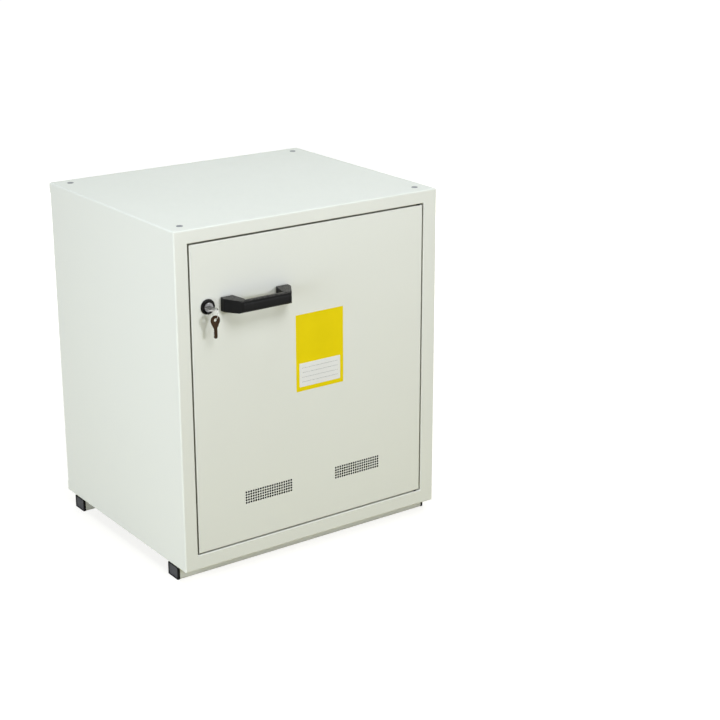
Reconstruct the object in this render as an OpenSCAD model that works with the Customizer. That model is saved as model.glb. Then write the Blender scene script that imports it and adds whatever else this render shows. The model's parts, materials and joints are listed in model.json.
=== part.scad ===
// Ventilated safety cabinet: a double-walled steel box on two base rails, with one hinged door
// Millimetres, +Z up, front towards -Y, origin on the floor under the middle of the box
// Inside placed(), x runs from the left side, y from the front face and z from the underside of the box

/* [Carcass] */
// Width of the painted box
carcass_w = 570; // [550:1:620]
// Depth of the painted box
carcass_d = 475; // [460:1:520]
// Height of the painted box above its rails
carcass_h = 640; // [620:1:700]
// Thickness of the outer steel sheet
sheet_t = 1.2; // [1:0.1:1.4]
// Outside radius of the folds between the box faces
fold_r = 3; // [2.5:0.5:4]
// Thickness of a wall from its painted face to its liner face
wall_t = 31; // [30:1:36]
// Thickness of the inner liner sheets
liner_t = 1; // [0.8:0.1:1.2]
// Height of the lips on the top and bottom sheets, and width of the rear flanges
lip = 20; // [16:1:26]

/* [Face frame] */
// Width of the frame beside the lock
frame_latch = 27; // [26:1:30]
// Width of the frame beside the hinge
frame_hinge = 31; // [28:1:32]
// Height of the frame above the door
frame_top = 25; // [24:1:28]
// Height of the frame below the door
frame_bottom = 29; // [26:1:30]
// Clear line between the door and the frame
door_gap = 3; // [2.5:0.25:3.5]
// Width of the flange that stops the door
stop_w = 25; // [25:0.5:26]
// Depth of the room for the seal behind the door
seal_room = 6; // [5:0.5:8]

/* [Door] */
// Thickness of the door
door_t = 30; // [28:1:32]
// Outside radius of the folds around the door and its opening
edge_r = 1.8; // [1.5:0.1:2.2]
// Distance of the pivot from the hinge edge of the door
pivot_in = 7; // [7:0.5:8]
// Distance of the pivot behind the front of the door
pivot_back = 5; // [5:0.5:5.5]
// Diameter of the pivot pins
pivot_d = 6; // [5:0.5:6]

/* [Vent grilles] */
// Holes in a row of a grille
vent_columns = 20; // [10:1:24]
// Rows of holes in a grille
vent_rows = 5; // [3:1:6]
// Distance from hole to hole
vent_pitch = 5.2; // [4.5:0.1:5.5]
// Diameter of a hole
vent_hole_d = 4.1; // [2.5:0.1:4.3]
// Distance between the centres of the two grilles
vent_spacing = 201; // [160:1:220]
// Height of the grille centres above the underside of the box
vent_z = 117; // [90:1:140]

/* [Handle] */
// Length of the handle over its legs
handle_l = 141; // [136:1:150]
// Distance between the handle screws
handle_screw_spacing = 120; // [112:1:124]
// Reach of the handle in front of the door
handle_reach = 42; // [40:1:46]
// Height of a leg where it meets the door
leg_h = 25; // [24:1:28]
// Height of the grip
grip_h = 23; // [20:1:24]
// Thickness of the grip, front to back
grip_t = 12; // [12:1:15]
// Middle of the handle from the left side of the box
handle_x = 160; // [155:1:240]

/* [Lock and keys] */
// Place of the lock from the left side of the box
lock_x = 63; // [62:1:66]
// Height of the lock and the handle above the underside of the box
lock_z = 497; // [440:1:520]
// Diameter of the black rosette
rosette_d = 28; // [26:1:32]
// Diameter of the lock barrel
barrel_d = 17; // [16:0.5:17]
// Diameter of the turning plug
plug_d = 12; // [11:0.5:12]
// Length of the locking cam from the middle of the lock to its tip
cam_l = 29; // [26:1:30]
// Thickness of a key
key_t = 2; // [1.8:0.1:2.2]
// Length of a key
key_l = 42; // [40:1:44]
// Middle radius of the key ring
ring_r = 9.3; // [9:0.1:10]

/* [Base and inside] */
// Height of the base rails
rail_h = 25; // [20:1:30]
// Depth of a base rail, front to back
rail_d = 35; // [30:1:40]
// Distance of the rails from the front and the back
rail_inset = 31; // [25:1:40]
// Outside diameter of the exhaust collar
spigot_d = 100; // [75:1:125]
// Height of the exhaust collar above the underside of the box
spigot_z = 530; // [480:1:530]
// Height of the shelf above the underside of the box
shelf_z = 320; // [250:5:400]

/* [Hidden] */
$fn = 64;

// Facets in a quarter of a sheet fold and of a moulded round
fold_steps = 5;
round_steps = 8;
// Room around what passes through a hole
hole_play = 0.3;
// How far a cutting shape runs past what it cuts
past = 1;
// Depth of the folded stub that joins the face frame to the side and top sheets
stub = 8;

// The door and the room behind it
door_x0 = frame_latch + door_gap;
door_x1 = carcass_w - frame_hinge - door_gap;
door_z0 = frame_bottom + door_gap;
door_z1 = carcass_h - frame_top - door_gap;
door_mid_x = (door_x0 + door_x1) / 2;
door_liner_t = 1.2;
door_pan_t = door_t - door_liner_t;
stop_y = door_t + seal_room;
pivot_x = door_x1 - pivot_in;

// The compartment between the liners
in_x0 = wall_t;
in_x1 = carcass_w - wall_t;
in_y0 = stop_y + sheet_t;
in_y1 = carcass_d - wall_t;
in_z0 = wall_t;
in_z1 = carcass_h - wall_t;

// Free edges of the insulation boards stay clear of the sheet folds
board_play = 3.5;

// Seal strip: its distance from the frame reveal, its width and its clearance to the closed door
seal_in = 16.5;
seal_w = 7.5;
seal_play = 0.3;

// Back sheet: its margin inside the folds, and its pan-head screws
back_margin = fold_r + 1;
back_screw_in = lip / 2 + 2;
back_screw_rows = 5;
pan_head_d = 7;
pan_head_h = 2;
pan_head_r = 1.6;

// Pivots: how far a plate reaches to either side of its pin, and where it starts and ends in depth
pivot_play = 0.05;
pivot_plate_t = 3;
pivot_plate_reach = [12, 9];
pivot_plate_y = [2.5, stop_y - 8];
pivot_engage = 14;
pivot_block = [16, 11, 20];
pivot_block_room = 4;

// Ducts of the vent grilles, and the air slots in their backs and in the door liner
vent_margin = 4;
vent_w = vent_columns * vent_pitch + vent_margin;
vent_h = vent_rows * vent_pitch + vent_margin;
vent_slot_h = 2.8;
sleeve_t = 1;
sleeve_play = 0.5;

// Door liner: its inset from the door edges
door_liner_in = 0.6;

// Handle: a leg has a short straight side, a slanted shoulder and a slanted inside, and is mitred to the grip
leg_side = 11;
leg_base = 25;
shoulder = 19;
mitre_front = 24;
mitre_back = 31.5;
grip_back = -handle_reach + grip_t;
leg_foot_r = 1.5;
leg_side_r = 4;
leg_front_r = 7;
grip_front_r = 7;
grip_back_r = 4;
handle_screw_d = 5;
handle_screw_l = 14;
handle_head = [10, 3];
handle_hole_depth = 16;
// Radius and depth of the room for a screw head behind the door sheet
handle_room = [8, 8];

// Lock: how far its face stands in front of the door, and where its parts end behind the door
lock_face = 5;
lock_room_r = 20;
rosette_t = 4;
rosette_rim = 0.8;
rosette_r = 4;
barrel_flange = 1.5;
barrel_flange_w = 1.8;
barrel_end = door_t + 8;
nut_w = 9;
nut_t = 5;
plug_play = 0.05;
cam_t = 2.5;
cam_w = 14;
cam_gap = 0.4;
cam_y = barrel_end + cam_gap;
cam_square = 7;
cam_screw_d = 4;
cam_screw_l = 8;
cam_head = [11, 2.5];
keyway = [7.1, 2.4];
keyway_depth = 25;

// Keys, measured from the tip of the bow
bow_r = 9.2;
bow_rim = 4.8;
bow_hole_r = 3.1;
blade_w = 6.5;
shoulder_w = blade_w + 2;
shoulder_at = 22;
// The neck tapers at this angle to the key's axis, and its sides pass the middle of the bow at neck_r
neck_taper = 23;
neck_r = shoulder_w / 2 * cos(neck_taper) + (shoulder_at - bow_r) * sin(neck_taper);
groove = [1.3, 0.5];
groove_off = 0.8;
notch_count = 4;
notch_start = 3.5;
notch_pitch = 3.4;
notch_sizes = [1.4, 1.9];
key_play = 0.4;
wire_r = 0.7;
wire_play = 0.8;
key_tip_y = -lock_face - key_play - shoulder_at;
ring_y = key_tip_y + bow_rim / 2;
ring_z = lock_z + key_t / 2 + wire_play - ring_r + wire_r;
spare_top_z = ring_z - ring_r + wire_r + wire_play + bow_rim;

// Shelf and sump tray pass through the door opening
opening_x0 = frame_latch + stop_w;
opening_x1 = carcass_w - frame_hinge - stop_w;
tray_play = 3;
tray_t = 1;
tray_fold_r = 2.5;
shelf_lip = 25;
sump_lip = 45;
tray_y0 = in_y0 + 20;
tray_y1 = in_y1 - 12;
runner_t = 1.5;
runner_leg = [38, 30];
runner_screw_d = 4;
runner_screw_in = 40;
runner_head_h = 2;

// Exhaust collar
spigot_t = 1.2;
spigot_bead = 1.5;
spigot_flange_d = spigot_d + 32;
spigot_screw_r = spigot_d / 2 + 8;
spigot_reach = handle_reach;

// Base rails
rail_t = 1.5;
rail_r = 2.5;
plug_flange = 5;
plug_stub = 14;
plug_rim = 2;
plug_corner_r = 0.8;
plug_dish = 1.2;
plug_dish_r = 0.8;
plug_core_in = rail_t + 1.5;
plug_rib_in = rail_t + 0.2;
plug_rib_t = 2;
plug_ribs = [3, 9];

// Covers over the fixing holes of the top sheet
cap_d = 12;
cap_hole_d = 9;
cap_rise = 0.8;
cap_in = 30;

// Basic shapes

function unit(v) = v / norm(v);
function left_of(d) = [-d[1], d[0]];
function turned(v, a) = [v[0] * cos(a) - v[1] * sin(a), v[0] * sin(a) + v[1] * cos(a)];
function reversed(list) = [for (i = [len(list) - 1:-1:0]) list[i]];
function arc(c, r, a0, a1, n = fold_steps) =
    [for (i = [0:n]) c + r * turned([1, 0], a0 + (a1 - a0) * i / n)];

// One face of a folded sheet: a path p with bends of middle radius r[i], moved s to the left
function bent_face(p, r, s) =
    let (last = len(p) - 1)
    concat(
        [p[0] + left_of(unit(p[1] - p[0])) * s],
        [for (i = [1:last - 1])
            let (
                d0 = unit(p[i] - p[i - 1]),
                d1 = unit(p[i + 1] - p[i]),
                a = atan2(d0[0] * d1[1] - d0[1] * d1[0], d0 * d1),
                side = sign(a),
                centre = p[i] - d0 * r[i - 1] * tan(abs(a) / 2) + left_of(d0) * side * r[i - 1]
            )
            for (k = [0:fold_steps])
                centre + turned(-left_of(d0) * side, a * k / fold_steps) * (r[i - 1] - side * s)],
        [p[last] + left_of(unit(p[last] - p[last - 1])) * s]
    );
// Outline of a sheet of thickness t, folded along the middle path p
function folded(p, t, r) = concat(bent_face(p, r, t / 2), reversed(bent_face(p, r, -t / 2)));

function rounded_rectangle(w, h, r) = concat(
    arc([r, r], r, 180, 270), arc([w - r, r], r, 270, 360),
    arc([w - r, h - r], r, 0, 90), arc([r, h - r], r, 90, 180));

module placed() translate([-carcass_w / 2, -carcass_d / 2, rail_h]) children();
module mirrored_x() translate([carcass_w, 0, 0]) mirror([1, 0, 0]) children();
module box(low, high) translate(low) cube(high - low);
// A flat outline in x and z, run along y
module along_y(y0, y1) translate([0, y1, 0]) rotate([90, 0, 0]) linear_extrude(y1 - y0) children();
// A flat outline in y and z, run along x
module along_x(x0, x1) translate([x0, 0, 0]) rotate([90, 0, 90]) linear_extrude(x1 - x0) children();
module rod_y(x, z, r, y0, y1) translate([x, y0, z]) rotate([-90, 0, 0]) cylinder(r = r, h = y1 - y0);
module rod_z(x, y, r, z0, z1) translate([x, y, z0]) cylinder(r = r, h = z1 - z0);

// A block with its four lower edges rounded, and a pan folded from one sheet
module pan_block(w, l, depth, r) intersection() {
    along_y(0, l) polygon(pan_section(w, depth, r));
    along_x(0, w) polygon(pan_section(l, depth, r));
}
function pan_section(w, depth, r) =
    concat(arc([r, r], r, 180, 270), arc([w - r, r], r, 270, 360), [[w, depth], [0, depth]]);
module pan(w, l, depth, t, r) difference() {
    pan_block(w, l, depth, r);
    translate([t, t, t]) pan_block(w - 2 * t, l - 2 * t, depth, r - t);
}

// Outer box

module side_panel() linear_extrude(carcass_h - 2 * lip)
    polygon(folded(
        [[sheet_t / 2, stub], [sheet_t / 2, carcass_d - sheet_t / 2], [lip, carcass_d - sheet_t / 2]],
        sheet_t, [fold_r - sheet_t / 2]));
module side_panel_left() color("#e4e6de") placed() translate([0, 0, lip]) side_panel();
module side_panel_right() color("#e4e6de") placed() mirrored_x() translate([0, 0, lip]) side_panel();

// A sheet with lips on its sides and its rear edge, open towards the face frame
module lipped_sheet() difference() {
    translate([0, -lip, 0]) pan(carcass_w, carcass_d + lip, lip, sheet_t, fold_r);
    box([-past, -lip - past, -past], [carcass_w + past, stub, lip + past]);
}
module at_caps() for (x = [cap_in, carcass_w - cap_in], y = [cap_in, carcass_d - cap_in])
    translate([x, y, carcass_h]) children();
module top_panel() color("#ecede6") placed() difference() {
    translate([0, 0, carcass_h]) mirror([0, 0, 1]) lipped_sheet();
    at_caps() translate([0, 0, -lip]) cylinder(d = cap_hole_d + hole_play, h = 2 * lip);
}
module bottom_panel() color("#d8d9d0") placed() lipped_sheet();
module top_caps() color("#8d9091") placed() at_caps() rotate_extrude()
    polygon(concat([[0, -sheet_t], [cap_hole_d / 2, -sheet_t], [cap_hole_d / 2, 0], [cap_d / 2, 0]],
        arc([cap_d / 2 - cap_rise, 0], cap_rise, 0, 90), [[0, cap_rise]]));

module back_panel() color("#d8d9d0") placed() difference() {
    box([back_margin, carcass_d - 2 * sheet_t, back_margin],
        [carcass_w - back_margin, carcass_d - sheet_t, carcass_h - back_margin]);
    spigot_hole();
}
// Pan-head screws through the rear flanges and the collar flange, heads outside
module back_screws() color("#b9bcbd") placed() {
    for (x = [back_screw_in, carcass_w - back_screw_in], i = [0:back_screw_rows - 1])
        back_screw(x, lip * 2 + (carcass_h - lip * 4) * i / (back_screw_rows - 1));
    for (i = [1:3], z = [back_screw_in, carcass_h - back_screw_in])
        back_screw(carcass_w * i / 4, z);
    for (a = [45:90:315])
        back_screw(carcass_w / 2 + spigot_screw_r * cos(a), spigot_z + spigot_screw_r * sin(a));
}
module back_screw(x, z) translate([x, carcass_d, z]) rotate([-90, 0, 0]) rotate_extrude()
    polygon(concat([[0, 0], [pan_head_d / 2, 0]],
        arc([pan_head_d / 2 - pan_head_r, pan_head_h - pan_head_r], pan_head_r, 0, 90), [[0, pan_head_h]]));

// Face frame: four folded strips, mitred together

function frame_path(w) = [
    [sheet_t / 2, stub], [sheet_t / 2, sheet_t / 2], [w - sheet_t / 2, sheet_t / 2],
    [w - sheet_t / 2, stop_y + sheet_t / 2], [w + stop_w, stop_y + sheet_t / 2]];
module frame_strip(w, length) linear_extrude(length)
    polygon(folded(frame_path(w), sheet_t, [fold_r, edge_r, edge_r] - [1, 1, 1] * sheet_t / 2));
module box_outline() along_y(-past, in_y0 + past)
    polygon(rounded_rectangle(carcass_w, carcass_h, fold_r));
module frame_stile(w) intersection() {
    frame_strip(w, carcass_h);
    along_y(-past, in_y0 + past) polygon([
        [0, 0], [w, frame_bottom], [w + stop_w, frame_bottom + stop_w],
        [w + stop_w, carcass_h - frame_top - stop_w], [w, carcass_h - frame_top], [0, carcass_h]]);
    box_outline();
}
module frame_rail(h) intersection() {
    rotate([0, -90, 0]) mirror([0, 0, 1]) frame_strip(h, carcass_w);
    along_y(-past, in_y0 + past) polygon([
        [0, 0], [frame_latch, h], [opening_x0, h + stop_w],
        [opening_x1, h + stop_w], [carcass_w - frame_hinge, h], [carcass_w, 0]]);
    box_outline();
}
module frame_stile_latch() color("#e6e8e0") placed() frame_stile(frame_latch);
module frame_stile_hinge() color("#e6e8e0") placed() mirrored_x() frame_stile(frame_hinge);
module frame_rail_top() color("#e6e8e0") placed() difference() {
    translate([0, 0, carcass_h]) mirror([0, 0, 1]) frame_rail(frame_top);
    pin_hole(carcass_h - frame_top - past, carcass_h - 2 * sheet_t);
}
module frame_rail_bottom() color("#e6e8e0") placed() difference() {
    frame_rail(frame_bottom);
    pin_hole(2 * sheet_t, frame_bottom + past);
}
module pin_hole(z0, z1) rod_z(pivot_x, pivot_back, pivot_d / 2 + hole_play, z0, z1);
module frame_inset(inset, y0, y1) box([frame_latch + inset, y0, frame_bottom + inset],
    [carcass_w - frame_hinge - inset, y1, carcass_h - frame_top - inset]);
module door_seal() color("#2a2b2c") placed() difference() {
    frame_inset(seal_in, door_t + seal_play, stop_y);
    frame_inset(seal_in + seal_w, 0, stop_y + past);
}
// A plate behind the reveal with a welded pin that reaches into the door, drawn for the lower corner
module pivot_bracket(z) {
    box([pivot_x - pivot_plate_reach[0], pivot_plate_y[0], z - pivot_plate_t],
        [pivot_x + pivot_plate_reach[1], pivot_plate_y[1], z]);
    rod_z(pivot_x, pivot_back, pivot_d / 2, z, z + sheet_t + door_gap + pivot_engage);
}
module pivot_bracket_bottom() color("#3a3b3d") placed() pivot_bracket(frame_bottom - sheet_t);
module pivot_bracket_top() color("#3a3b3d") placed()
    translate([0, 0, carcass_h]) mirror([0, 0, 1]) pivot_bracket(frame_top - sheet_t);

// Insulation and liners

module insulation_left() color("#c9b98f") placed() side_board();
module insulation_right() color("#c9b98f") placed() mirrored_x() side_board();
module side_board() box([sheet_t, in_y0 + board_play, board_play],
    [wall_t - liner_t, carcass_d - board_play, carcass_h - board_play]);
module flat_board() box([wall_t - liner_t, in_y0 + board_play, sheet_t],
    [carcass_w - wall_t + liner_t, in_y1 + liner_t, wall_t - liner_t]);
module insulation_bottom() color("#c9b98f") placed() flat_board();
module insulation_top() color("#c9b98f") placed()
    translate([0, 0, carcass_h]) mirror([0, 0, 1]) flat_board();
module spigot_hole() rod_y(carcass_w / 2, spigot_z, spigot_d / 2 + hole_play, 0, carcass_d + past);
module insulation_back() color("#c9b98f") placed() difference() {
    box([wall_t - liner_t, in_y1 + liner_t, board_play],
        [carcass_w - wall_t + liner_t, carcass_d - 2 * sheet_t, carcass_h - board_play]);
    spigot_hole();
}

module at_runner_screws(x) for (y = [tray_y0 + runner_screw_in, tray_y1 - runner_screw_in])
    translate([x, y, shelf_z - runner_leg[1] / 2]) rotate([0, 90, 0]) children();
module runner_holes() at_runner_screws(0) cylinder(d = runner_screw_d + hole_play, h = carcass_w);
module side_liner() difference() {
    box([wall_t - liner_t, in_y0, in_z0], [wall_t, in_y1, in_z1]);
    runner_holes();
}
module liner_left() color("#dcdfe0") placed() side_liner();
module liner_right() color("#dcdfe0") placed() mirrored_x() side_liner();
module flat_liner() box([in_x0 - liner_t, in_y0, in_z0 - liner_t], [in_x1 + liner_t, in_y1, in_z0]);
module liner_floor() color("#dcdfe0") placed() flat_liner();
module liner_top() color("#dcdfe0") placed()
    translate([0, 0, carcass_h]) mirror([0, 0, 1]) flat_liner();
module liner_back() color("#dcdfe0") placed() difference() {
    box([in_x0 - liner_t, in_y1, in_z0 - liner_t], [in_x1 + liner_t, in_y1 + liner_t, in_z1 + liner_t]);
    spigot_hole();
}

// Shelf, sump tray and exhaust collar

module shelf_runner() difference() {
    along_y(tray_y0, tray_y1) polygon(folded(
        [[in_x0 + runner_t / 2, shelf_z - runner_leg[1]], [in_x0 + runner_t / 2, shelf_z - runner_t / 2],
            [in_x0 + runner_leg[0], shelf_z - runner_t / 2]],
        runner_t, [runner_t]));
    runner_holes();
}
module shelf_runner_left() color("#b4b8ba") placed() shelf_runner();
module shelf_runner_right() color("#b4b8ba") placed() mirrored_x() shelf_runner();
module runner_screw_pair() at_runner_screws(in_x0 + runner_t) {
    cylinder(d = 2 * runner_screw_d, h = runner_head_h);
    translate([0, 0, -runner_t - liner_t]) cylinder(d = runner_screw_d, h = runner_t + liner_t);
}
module runner_screws() color("#a9acae") placed() {
    runner_screw_pair();
    mirrored_x() runner_screw_pair();
}
module tray(z, depth) translate([opening_x0 + tray_play, tray_y0, z])
    pan(opening_x1 - opening_x0 - 2 * tray_play, tray_y1 - tray_y0, depth, tray_t, tray_fold_r);
module shelf_tray() color("#c3c7c9") placed() tray(shelf_z, shelf_lip);
module sump_tray() color("#c3c7c9") placed() tray(in_z0, sump_lip);
module at_spigot(y) translate([carcass_w / 2, y, spigot_z]) rotate([-90, 0, 0]) children();
module exhaust_spigot() color("#c3c7c9") placed() at_spigot(in_y1) difference() {
    union() {
        cylinder(d = spigot_d, h = wall_t + spigot_reach);
        translate([0, 0, wall_t]) cylinder(d = spigot_d + 2 * spigot_bead, h = spigot_bead);
    }
    translate([0, 0, -past]) cylinder(d = spigot_d - 2 * spigot_t, h = wall_t + spigot_reach + 2 * past);
}
module spigot_flange() color("#c3c7c9") placed() at_spigot(carcass_d - sheet_t) difference() {
    cylinder(d = spigot_flange_d, h = sheet_t);
    translate([0, 0, -past]) cylinder(d = spigot_d + hole_play, h = sheet_t + 2 * past);
}

// Base rails and their end plugs

module rail_tube() difference() {
    polygon(rounded_rectangle(rail_d, rail_h, rail_r));
    translate([rail_t, rail_t])
        polygon(rounded_rectangle(rail_d - 2 * rail_t, rail_h - 2 * rail_t, rail_r - rail_t));
}
module base_rail(y) translate([0, y, -rail_h]) along_x(plug_flange, carcass_w - plug_flange) rail_tube();
module base_rail_front() color("#dfe0d8") placed() base_rail(rail_inset);
module base_rail_rear() color("#dfe0d8") placed() base_rail(carcass_d - rail_inset - rail_d);
// A ribbed stub pressed into the tube and a dished outer face
module rail_plug() translate([0, 0, -rail_h]) {
    difference() {
        along_x(0, plug_flange) plug_outline(0, plug_corner_r);
        along_x(-past, plug_dish) plug_outline(plug_rim, plug_dish_r);
    }
    along_x(plug_flange, plug_flange + plug_stub) plug_outline(plug_core_in, rail_t);
    for (rib = plug_ribs)
        along_x(plug_flange + rib, plug_flange + rib + plug_rib_t) plug_outline(plug_rib_in, rail_r - rail_t);
}
module plug_outline(inset, r) translate([inset, inset])
    polygon(rounded_rectangle(rail_d - 2 * inset, rail_h - 2 * inset, r));
module rail_plugs() color("#26272a") placed() for (y = [rail_inset, carcass_d - rail_inset - rail_d])
    translate([0, y, 0]) {
        rail_plug();
        mirrored_x() rail_plug();
    }

// Door: a perforated pan, its insulation and its inner cover

module upright() mirror([0, 1, 0]) rotate([90, 0, 0]) children();
module at_vent(side) translate([door_mid_x + side * vent_spacing / 2, 0, vent_z]) children();
module at_vents() for (side = [-1, 1]) at_vent(side) children();
module vent_holes() for (i = [0:vent_columns - 1], k = [0:vent_rows - 1])
    rod_y((i - (vent_columns - 1) / 2) * vent_pitch, (k - (vent_rows - 1) / 2) * vent_pitch,
        vent_hole_d / 2, -past, 2 * sheet_t);
module handle_holes(r, y0, y1) for (side = [-1, 1])
    rod_y(handle_x + side * handle_screw_spacing / 2, lock_z, r, y0, y1);
module door_skin() color("#e6e8e0") placed() difference() {
    translate([door_x0, 0, door_z0]) upright()
        pan(door_x1 - door_x0, door_z1 - door_z0, door_pan_t, sheet_t, edge_r);
    at_vents() vent_holes();
    rod_y(lock_x, lock_z, barrel_d / 2 + hole_play, -past, 2 * sheet_t);
    handle_holes(handle_screw_d / 2 + hole_play, -past, 2 * sheet_t);
    pin_hole(door_z0 - past, door_z1 + past);
}
module vent_block(room) box([-vent_w / 2 - sleeve_t - room, sheet_t - room, -vent_h / 2 - sleeve_t - room],
    [vent_w / 2 + sleeve_t + room, door_pan_t + room, vent_h / 2 + sleeve_t + room]);
module vent_slots() for (k = [0:vent_rows - 1])
    translate([0, 0, (k - (vent_rows - 1) / 2) * vent_pitch])
        box([-vent_w / 2 + vent_margin, door_pan_t - 2 * sleeve_t, -vent_slot_h / 2],
            [vent_w / 2 - vent_margin, door_t + past, vent_slot_h / 2]);
module vent_duct() difference() {
    vent_block(0);
    box([-vent_w / 2, 0, -vent_h / 2], [vent_w / 2, door_pan_t - sleeve_t, vent_h / 2]);
    vent_slots();
}
module vent_sleeve_left() color("#232426") placed() at_vent(-1) vent_duct();
module vent_sleeve_right() color("#232426") placed() at_vent(1) vent_duct();
// Corner rooms for the pivot blocks, and rooms for the lock, the handle screws and the vent ducts
module door_insulation() color("#c9b98f") placed() difference() {
    box([door_x0 + edge_r + past, sheet_t, door_z0 + edge_r + past],
        [door_x1 - edge_r - past, door_pan_t, door_z1 - edge_r - past]);
    for (z = [door_z0, door_z1 - pivot_block[2] - pivot_block_room])
        box([door_x1 - pivot_block[0] - pivot_block_room, 0, z],
            [door_x1, door_t, z + pivot_block[2] + pivot_block_room]);
    at_vents() vent_block(sleeve_play);
    rod_y(lock_x, lock_z, lock_room_r, 0, door_t);
    handle_holes(handle_room[0], 0, handle_room[1]);
}
module door_liner() color("#dcdfe0") placed() difference() {
    box([door_x0 + door_liner_in, door_pan_t, door_z0 + door_liner_in],
        [door_x1 - door_liner_in, door_t, door_z1 - door_liner_in]);
    at_vents() vent_slots();
    rod_y(lock_x, lock_z, barrel_d / 2 + hole_play, 0, door_t + past);
}
module pivot_bearing() difference() {
    box([door_x1 - edge_r - pivot_block[0], sheet_t, 0],
        [door_x1 - edge_r, sheet_t + pivot_block[1], pivot_block[2]]);
    rod_z(pivot_x, pivot_back, pivot_d / 2 + pivot_play, -past, pivot_block[2] + past);
}
module pivot_block_bottom() color("#3a3b3d") placed() translate([0, 0, door_z0 + edge_r]) pivot_bearing();
module pivot_block_top() color("#3a3b3d") placed()
    translate([0, 0, door_z1 - edge_r - pivot_block[2]]) pivot_bearing();

// Bridge handle: two moulded legs and a straight grip

// Section of the handle in reach and height: it narrows from the door to a rounded front
function handle_front() =
    let (r = grip_front_r, h = grip_h / 2, y = -handle_reach + r)
    concat(arc([y, h - r], r, 90, 180, round_steps), arc([y, r - h], r, 180, 270, round_steps));
function handle_section() = concat([[0, -leg_h / 2], [0, leg_h / 2]], handle_front());
function grip_section() =
    let (r = grip_back_r, h = grip_h / 2, y = grip_back - r)
    concat(arc([y, h - r], r, 0, 90, round_steps), handle_front(), arc([y, r - h], r, 270, 360, round_steps));
// Plan of the left leg: from the foot along the outside to the mitre, then back along the inside
function leg_plan() =
    let (foot = leg_base / 2)
    concat(
        bent_face(
            [[foot - past, 0], [0, 0], [0, -leg_side],
                [shoulder, -handle_reach], [mitre_front, -handle_reach]],
            [leg_foot_r, leg_side_r, leg_front_r], 0),
        bent_face([[mitre_back, grip_back], [leg_base, 0], [foot + past, 0]], [leg_foot_r], 0));
function grip_plan() = [
    [mitre_front, -handle_reach], [handle_l - mitre_front, -handle_reach],
    [handle_l - mitre_back, grip_back], [mitre_back, grip_back]];
// A plan cut to a section in reach and height
module handle_piece(plan, section) intersection() {
    translate([0, 0, -leg_h]) linear_extrude(2 * leg_h) polygon(plan);
    along_x(-past, handle_l + past) polygon(section);
}
module handle_leg() difference() {
    handle_piece(leg_plan(), handle_section());
    rod_y((handle_l - handle_screw_spacing) / 2, 0, handle_screw_d / 2 + plug_play, -handle_hole_depth, past);
}
module handle_place() translate([handle_x - handle_l / 2, 0, lock_z]) children();
module handle_leg_left() color("#2b2c2f") placed() handle_place() handle_leg();
module handle_leg_right() color("#2b2c2f") placed() handle_place()
    translate([handle_l, 0, 0]) mirror([1, 0, 0]) handle_leg();
module handle_grip() color("#2b2c2f") placed() handle_place() handle_piece(grip_plan(), grip_section());
// Screws from behind the door sheet into the legs
module handle_screws() color("#a9acae") placed() {
    handle_holes(handle_head[0] / 2, sheet_t, sheet_t + handle_head[1]);
    handle_holes(handle_screw_d / 2, sheet_t - handle_screw_l, sheet_t);
}

// Cam lock

module at_lock() translate([lock_x, 0, lock_z]) rotate([90, 0, 0]) children();
// A domed ring that hides the flange of the barrel
module lock_rosette() color("#1f2022") placed() at_lock() rotate_extrude()
    let (hole = barrel_d / 2 + hole_play, seat = barrel_d / 2 + barrel_flange_w + hole_play)
    polygon(concat(
        [[hole, rosette_t], [hole, barrel_flange], [seat, barrel_flange],
            [seat, 0], [rosette_d / 2, 0], [rosette_d / 2, rosette_rim]],
        arc([rosette_d / 2 - rosette_r, rosette_rim], rosette_r, 0, 53, round_steps),
        [[hole + rosette_rim, rosette_t]]));
module lock_barrel() color("#c8cacc") placed() difference() {
    union() {
        rod_y(lock_x, lock_z, barrel_d / 2, -lock_face, barrel_end);
        rod_y(lock_x, lock_z, barrel_d / 2 + barrel_flange_w, -barrel_flange, 0);
    }
    rod_y(lock_x, lock_z, plug_d / 2 + plug_play, -lock_face - past, barrel_end + past);
}
module lock_nut() color("#a9acae") placed() difference() {
    translate([lock_x, sheet_t, lock_z]) rotate([-90, 0, 0])
        cylinder(d = barrel_d + nut_w, h = nut_t, $fn = 6);
    rod_y(lock_x, lock_z, barrel_d / 2 + plug_play, 0, sheet_t + nut_t + past);
}
module lock_plug() color("#d4d6d8") placed() difference() {
    union() {
        rod_y(lock_x, lock_z, plug_d / 2, -lock_face, cam_y);
        box([lock_x - cam_square / 2, cam_y, lock_z - cam_square / 2],
            [lock_x + cam_square / 2, cam_y + cam_t, lock_z + cam_square / 2]);
    }
    box([lock_x - keyway[0] / 2, -lock_face - past, lock_z - keyway[1] / 2],
        [lock_x + keyway[0] / 2, keyway_depth - lock_face, lock_z + keyway[1] / 2]);
    rod_y(lock_x, lock_z, cam_screw_d / 2 + plug_play, cam_y - cam_screw_l - past, cam_y + cam_t + past);
}
module lock_cam() color("#b9bcbd") placed() difference() {
    union() {
        rod_y(lock_x, lock_z, cam_w / 2, cam_y, cam_y + cam_t);
        box([lock_x - cam_w / 2, cam_y, lock_z - cam_l + cam_w / 2],
            [lock_x + cam_w / 2, cam_y + cam_t, lock_z]);
        rod_y(lock_x, lock_z - cam_l + cam_w / 2, cam_w / 2, cam_y, cam_y + cam_t);
    }
    box([lock_x - cam_square / 2, cam_y - past, lock_z - cam_square / 2],
        [lock_x + cam_square / 2, cam_y + cam_t + past, lock_z + cam_square / 2]);
}
module cam_screw() color("#a9acae") placed() {
    rod_y(lock_x, lock_z, cam_head[0] / 2, cam_y + cam_t, cam_y + cam_t + cam_head[1]);
    rod_y(lock_x, lock_z, cam_screw_d / 2, cam_y - cam_screw_l, cam_y + cam_t);
}

// Keys and ring

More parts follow.
